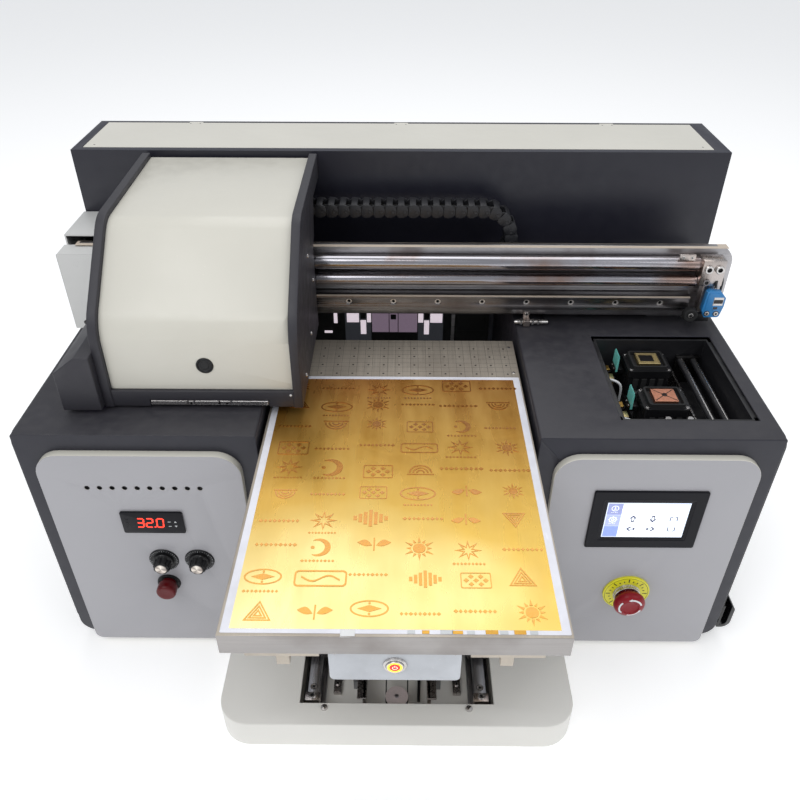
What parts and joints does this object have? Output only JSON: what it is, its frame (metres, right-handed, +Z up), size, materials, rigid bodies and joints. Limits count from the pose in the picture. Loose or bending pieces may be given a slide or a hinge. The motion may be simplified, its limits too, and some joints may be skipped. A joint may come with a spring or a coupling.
{
  "type": "flatbed uv printer",
  "caption": "Desktop flatbed printer: print carriage on a cross beam between two towers, vacuum bed that slides and lifts, capping well, touch screen and stop button.",
  "frame": {"origin": "on the resting plane under the base tray, midway between the towers, in line with the tower fronts", "axes": "+X to the right of a person facing the machine, +Y towards the rear, +Z up"},
  "size_m": [0.916, 0.738, 0.5712],
  "materials": {
    "base_tray": "smooth white powder coat",
    "tower_left": "fine textured charcoal powder coat",
    "tower_right": "fine textured charcoal powder coat",
    "side_panels": "satin white paint",
    "panel_left": "satin white paint",
    "panel_right": "satin white paint",
    "feet": "matte moulded rubber",
    "side_handles": "satin black paint",
    "rear_housing": "fine textured charcoal powder coat",
    "back_panel": "fine textured charcoal powder coat",
    "power_inlet": "black moulded plastic",
    "beam_plate": "brushed anodised plate",
    "beam_tube": "mill finish",
    "rods": "ground and polished shaft",
    "rail": "ground rail steel",
    "screws": "zinc plated",
    "end_blocks": "bead blasted anodised",
    "end_cover": "satin white paint",
    "limit_sensor": "blue moulded plastic",
    "proximity_sensor": "nickelled brass, threaded",
    "bumper": "matte rubber",
    "drive_motors": "black motor enamel",
    "x_belt": "toothed belt",
    "chain_tray": "black powder coat",
    "y_rails": "ground rail steel",
    "y_belt": "toothed belt",
    "screen_bezel": "gloss black",
    "screen_glass": "lit display behind glass",
    "temp_controller": "smoked black plastic",
    "dial_plates": "black plastic dial with marks",
    "stop_plate": "yellow plastic",
    "cap_deck": "bent steel sheet",
    "ink_bottles": "translucent polyethylene",
    "lid": "satin cream paint",
    "stop_head": "red plastic",
    "knob_left": "knurled black plastic, bright cap",
    "knob_right": "knurled black plastic, bright cap",
    "red_button": "dark red plastic",
    "x_pulley_drive": "turned",
    "x_pulley_idle": "turned",
    "y_pulley_front": "turned",
    "y_pulley_rear": "turned",
    "drag_chain": "black nylon links",
    "carriage_shell": "satin black paint",
    "carriage_cover": "satin cream paint",
    "cover_plug": "black plug",
    "lamp_housing": "satin black paint",
    "uv_lamp": "anodised heat sink",
    "head_block": "steel plate and print heads",
    "slide_blocks": "ground steel",
    "saddle": "machined",
    "lift_screw": "rolled thread",
    "bed_frame": "extruded",
    "vacuum_plate": "hard anodised, worn",
    "sample_sheet": "metallised gold foil board",
    "power_box": "white paint",
    "power_button": "steel ring with a lit red symbol ring",
    "cap_stations": "black moulded plastic",
    "cap_inserts": "absorbent insert in a rubber lip",
    "wipers": "teal rubber blade"
  },
  "bodies": {
    "chassis": {"base_tray": "base_tray", "tower_left": "tower_left", "tower_right": "tower_right", "side_panels": "side_panels", "panel_left": "panel_left", "panel_right": "panel_right", "feet": "feet", "side_handles": "side_handles", "rear_housing": "rear_housing", "back_panel": "back_panel", "power_inlet": "power_inlet", "beam_plate": "beam_plate", "beam_tube": "beam_tube", "rods": "rods", "rail": "rail", "screws": "screws", "end_blocks": "end_blocks", "end_cover": "end_cover", "limit_sensor": "limit_sensor", "proximity_sensor": "proximity_sensor", "bumper": "bumper", "drive_motors": "drive_motors", "x_belt": "x_belt", "chain_tray": "chain_tray", "y_rails": "y_rails", "y_belt": "y_belt", "screen_bezel": "screen_bezel", "screen_glass": "screen_glass", "temp_controller": "temp_controller", "dial_plates": "dial_plates", "stop_plate": "stop_plate", "cap_deck": "cap_deck", "ink_bottles": "ink_bottles"},
    "lid": {"lid": "lid"},
    "stop_head": {"stop_head": "stop_head"},
    "knob_left": {"knob_left": "knob_left"},
    "knob_right": {"knob_right": "knob_right"},
    "red_button": {"red_button": "red_button"},
    "x_drive": {"x_pulley_drive": "x_pulley_drive"},
    "x_idle": {"x_pulley_idle": "x_pulley_idle"},
    "y_front": {"y_pulley_front": "y_pulley_front"},
    "y_rear": {"y_pulley_rear": "y_pulley_rear"},
    "chain": {"drag_chain": "drag_chain"},
    "carriage": {"carriage_shell": "carriage_shell", "carriage_cover": "carriage_cover", "cover_plug": "cover_plug", "lamp_housing": "lamp_housing", "uv_lamp": "uv_lamp", "head_block": "head_block", "slide_blocks": "slide_blocks"},
    "saddle": {"saddle": "saddle"},
    "screw": {"lift_screw": "lift_screw"},
    "bed": {"bed_frame": "bed_frame", "vacuum_plate": "vacuum_plate", "sample_sheet": "sample_sheet", "power_box": "power_box"},
    "power_button": {"power_button": "power_button"},
    "caps": {"cap_stations": "cap_stations", "cap_inserts": "cap_inserts", "wipers": "wipers"}
  },
  "joints": [
    {"name": "carriage_slide", "type": "slide", "parent": "chassis", "child": "carriage", "axis": [1, 0, 0], "range_m": [-0.006, 0.49]},
    {"name": "chain_slide", "type": "slide", "parent": "chassis", "child": "chain", "axis": [1, 0, 0], "range_m": [-0.005, 0.25]},
    {"name": "x_drive_spin", "type": "hinge", "parent": "chassis", "child": "x_drive", "pos_m": [-0.398, 0.2785, 0.448], "axis": [0, 1, 0], "continuous": true},
    {"name": "x_idle_spin", "type": "hinge", "parent": "chassis", "child": "x_idle", "pos_m": [0.413, 0.2785, 0.448], "axis": [0, 1, 0], "continuous": true},
    {"name": "table_slide", "type": "slide", "parent": "chassis", "child": "saddle", "axis": [0, 1, 0], "range_m": [-0.01, 0.24]},
    {"name": "y_front_spin", "type": "hinge", "parent": "chassis", "child": "y_front", "pos_m": [0, -0.111, 0.028], "axis": [0, 0, 1], "continuous": true},
    {"name": "y_rear_spin", "type": "hinge", "parent": "chassis", "child": "y_rear", "pos_m": [0, 0.43, 0.028], "axis": [0, 0, 1], "continuous": true},
    {"name": "table_lift", "type": "slide", "parent": "saddle", "child": "bed", "axis": [0, 0, 1], "range_m": [-0.07, 0.01]},
    {"name": "screw_spin", "type": "hinge", "parent": "saddle", "child": "screw", "pos_m": [0, 0.05, 0.15], "axis": [0, 0, 1], "continuous": true},
    {"name": "power_push", "type": "slide", "parent": "bed", "child": "power_button", "axis": [0, 1, 0], "range_m": [0, 0.0025], "stiffness_N_per_m": 400},
    {"name": "lid_hinge", "type": "hinge", "parent": "chassis", "child": "lid", "pos_m": [0, 0.476, 0.5692], "axis": [1, 0, 0], "range_deg": [-95, 0]},
    {"name": "stop_push", "type": "slide", "parent": "chassis", "child": "stop_head", "axis": [0, 1, 0], "range_m": [0, 0.004]},
    {"name": "knob_left_turn", "type": "hinge", "parent": "chassis", "child": "knob_left", "pos_m": [-0.295, 0, 0.172], "axis": [0, 1, 0], "range_deg": [-135, 135]},
    {"name": "knob_right_turn", "type": "hinge", "parent": "chassis", "child": "knob_right", "pos_m": [-0.25, 0, 0.172], "axis": [0, 1, 0], "range_deg": [-135, 135]},
    {"name": "red_push", "type": "slide", "parent": "chassis", "child": "red_button", "axis": [0, 1, 0], "range_m": [0, 0.003], "stiffness_N_per_m": 400},
    {"name": "cap_lift", "type": "slide", "parent": "chassis", "child": "caps", "axis": [0, 0, 1], "range_m": [0, 0.01]}
  ],
  "couplings": [
    {"joint": "chain_slide", "follows": "carriage_slide", "ratio": 0.5},
    {"joint": "x_drive_spin", "follows": "carriage_slide", "rad_per_m": 92.6},
    {"joint": "x_idle_spin", "follows": "carriage_slide", "rad_per_m": 92.6},
    {"joint": "y_front_spin", "follows": "table_slide", "rad_per_m": 72.5},
    {"joint": "y_rear_spin", "follows": "table_slide", "rad_per_m": 72.5},
    {"joint": "screw_spin", "follows": "table_lift", "rad_per_m": -628.3}
  ]
}
